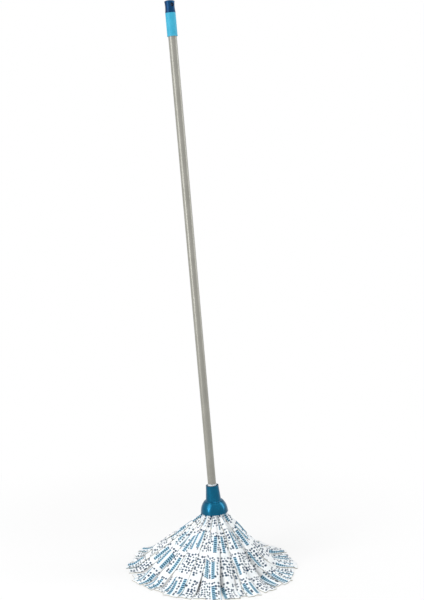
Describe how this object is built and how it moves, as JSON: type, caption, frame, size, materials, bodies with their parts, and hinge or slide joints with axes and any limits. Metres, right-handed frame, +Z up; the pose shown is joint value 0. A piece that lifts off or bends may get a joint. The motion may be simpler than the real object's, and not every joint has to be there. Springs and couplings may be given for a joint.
{
  "type": "mop",
  "caption": "Strip mop: a leaning tube handle with grip and hanging cap, screwed into a domed bell that clamps layers of printed cloth strips.",
  "frame": {"origin": "on the floor, straight below the centre of the bell's rim, which is the middle of the fringe's footprint", "axes": "+Z up from the floor; the handle leans 4.9 degrees from +Z towards -X in the XZ plane; -Y is the front"},
  "size_m": [0.4528, 0.4528, 1.488],
  "materials": {
    "tube_coating": "satin warm grey coating on steel tube",
    "grip_plastic": "satin light blue",
    "cap_plastic": "semi-gloss dark blue",
    "bell_plastic": "glossy petrol blue",
    "white_plastic": "satin white",
    "cloth": "white nonwoven cloth printed with blue dots and bars"
  },
  "bodies": {
    "head": {"bell_housing": "bell_plastic", "fringe_retainer": "bell_plastic", "strip_01": "cloth", "strip_02": "cloth", "strip_03": "cloth", "strip_04": "cloth", "strip_05": "cloth", "strip_06": "cloth", "strip_07": "cloth", "strip_08": "cloth", "strip_09": "cloth", "strip_10": "cloth", "strip_11": "cloth", "strip_12": "cloth", "strip_13": "cloth", "strip_14": "cloth", "strip_15": "cloth", "strip_16": "cloth", "strip_17": "cloth", "strip_18": "cloth", "strip_19": "cloth", "strip_20": "cloth", "strip_21": "cloth", "strip_22": "cloth", "strip_23": "cloth", "strip_24": "cloth", "strip_25": "cloth", "strip_26": "cloth", "strip_27": "cloth", "strip_28": "cloth", "strip_29": "cloth", "strip_30": "cloth", "strip_31": "cloth", "strip_32": "cloth", "strip_33": "cloth", "strip_34": "cloth", "strip_35": "cloth", "strip_36": "cloth"},
    "ring": {"stop_ring": "white_plastic"},
    "handle": {"end_cap": "cap_plastic", "grip_sleeve": "grip_plastic", "handle_tube": "tube_coating", "thread_insert": "white_plastic"}
  },
  "joints": [
    {"name": "handle_rise", "type": "slide", "parent": "head", "child": "ring", "axis": [-0.0854, 0, 0.9963], "range_m": [0, 0.02]},
    {"name": "handle_turn", "type": "hinge", "parent": "ring", "child": "handle", "pos_m": [0, 0, 0.1525], "axis": [-0.0854, 0, 0.9963], "range_deg": [0, 1440]}
  ],
  "couplings": [
    {"joint": "handle_turn", "follows": "handle_rise", "rad_per_m": 1256.6}
  ]
}
